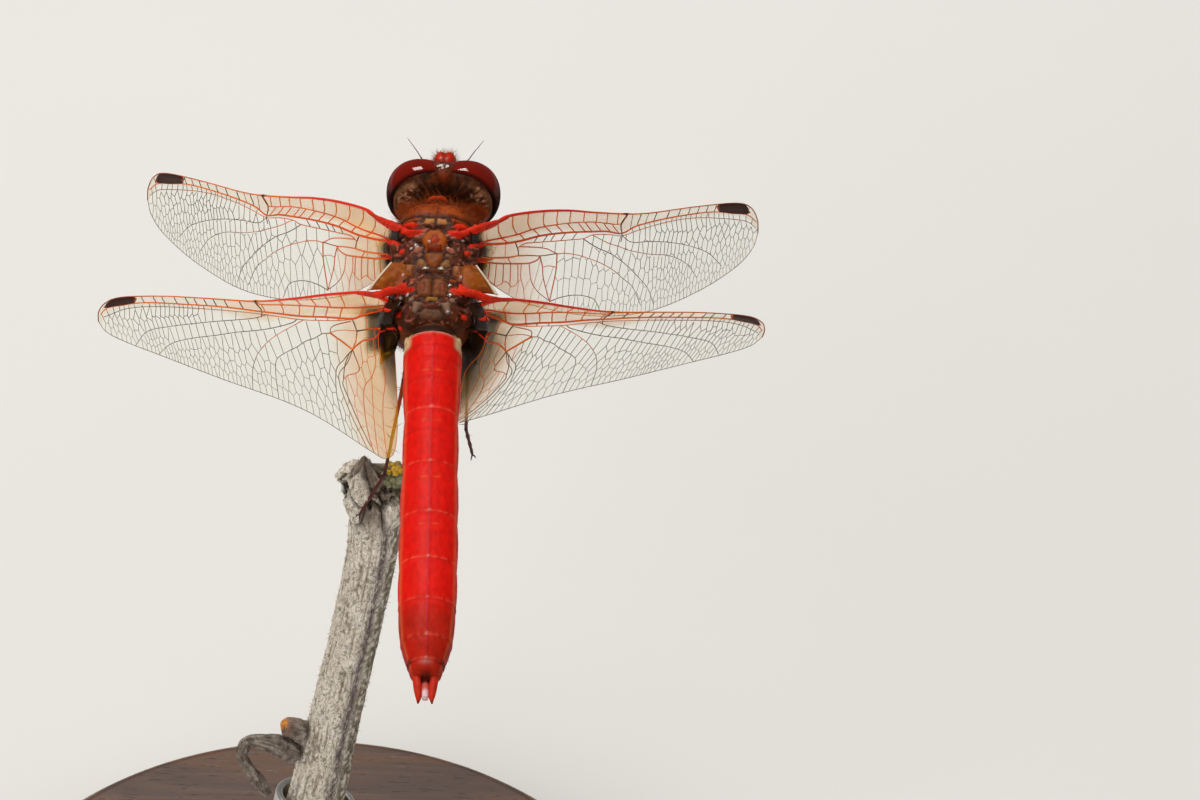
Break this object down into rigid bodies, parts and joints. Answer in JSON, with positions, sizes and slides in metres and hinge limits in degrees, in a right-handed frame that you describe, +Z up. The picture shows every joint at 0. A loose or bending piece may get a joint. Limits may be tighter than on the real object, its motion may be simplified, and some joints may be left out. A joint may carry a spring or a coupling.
{
  "type": "dragonfly model",
  "caption": "Life-size red dragonfly with spread, forward-drooping wings, gripping the broken end of a twig held by a round wooden display stand.",
  "frame": {"origin": "middle of the underside of the stand's round base", "axes": "+Z up, +Y the way the insect faces, +X the insect's right"},
  "size_m": [0.0452, 0.053, 0.0525],
  "materials": {
    "chitin_dark": "dark hairy cuticle",
    "eye": "polished dark red compound eye with fine facets",
    "face_red": "bright red satin cuticle",
    "face_tan": "tan cuticle",
    "thorax": "orange-brown cuticle with fine hair",
    "abdomen": "waxy satin cuticle, bright red",
    "wing": "clear membrane with red and dark veins",
    "leg": "dark red-brown cuticle with spines",
    "bark": "grey fibrous weathered bark",
    "walnut": "waxed dark walnut",
    "steel": "fine brushed steel"
  },
  "bodies": {
    "root": {"abdomen_01": "abdomen", "abdomen_02": "abdomen", "abdomen_03": "abdomen", "abdomen_04": "abdomen", "abdomen_05": "abdomen", "abdomen_06": "abdomen", "abdomen_07": "abdomen", "abdomen_08": "abdomen", "abdomen_09": "abdomen", "abdomen_10": "abdomen", "antenna_left": "chitin_dark", "antenna_right": "chitin_dark", "cercus_left": "abdomen", "cercus_right": "abdomen", "epiproct": "abdomen", "eye_left": "eye", "eye_right": "eye", "head_capsule": "chitin_dark", "head_frons": "face_red", "head_mouth": "face_tan", "head_occiput": "thorax", "leg_fore_left_femur": "leg", "leg_fore_left_tibia": "leg", "leg_fore_left_tarsus": "leg", "leg_fore_right_femur": "leg", "leg_fore_right_tibia": "leg", "leg_fore_right_tarsus": "leg", "leg_mid_left_femur": "leg", "leg_mid_left_tibia": "leg", "leg_mid_left_tarsus": "leg", "leg_mid_right_femur": "leg", "leg_mid_right_tibia": "leg", "leg_mid_right_tarsus": "leg", "leg_hind_left_femur": "leg", "leg_hind_left_tibia": "leg", "leg_hind_left_tarsus": "leg", "leg_hind_right_femur": "leg", "leg_hind_right_tibia": "leg", "leg_hind_right_tarsus": "leg", "perch_shoot": "bark", "perch_stub": "bark", "perch_twig": "bark", "prothorax": "thorax", "stand_base": "walnut", "stand_ferrule": "steel", "stand_rod": "steel", "thorax": "thorax", "wing_fore_left": "wing", "wing_fore_right": "wing", "wing_hind_left": "wing", "wing_hind_right": "wing"}
  },
  "joints": []
}
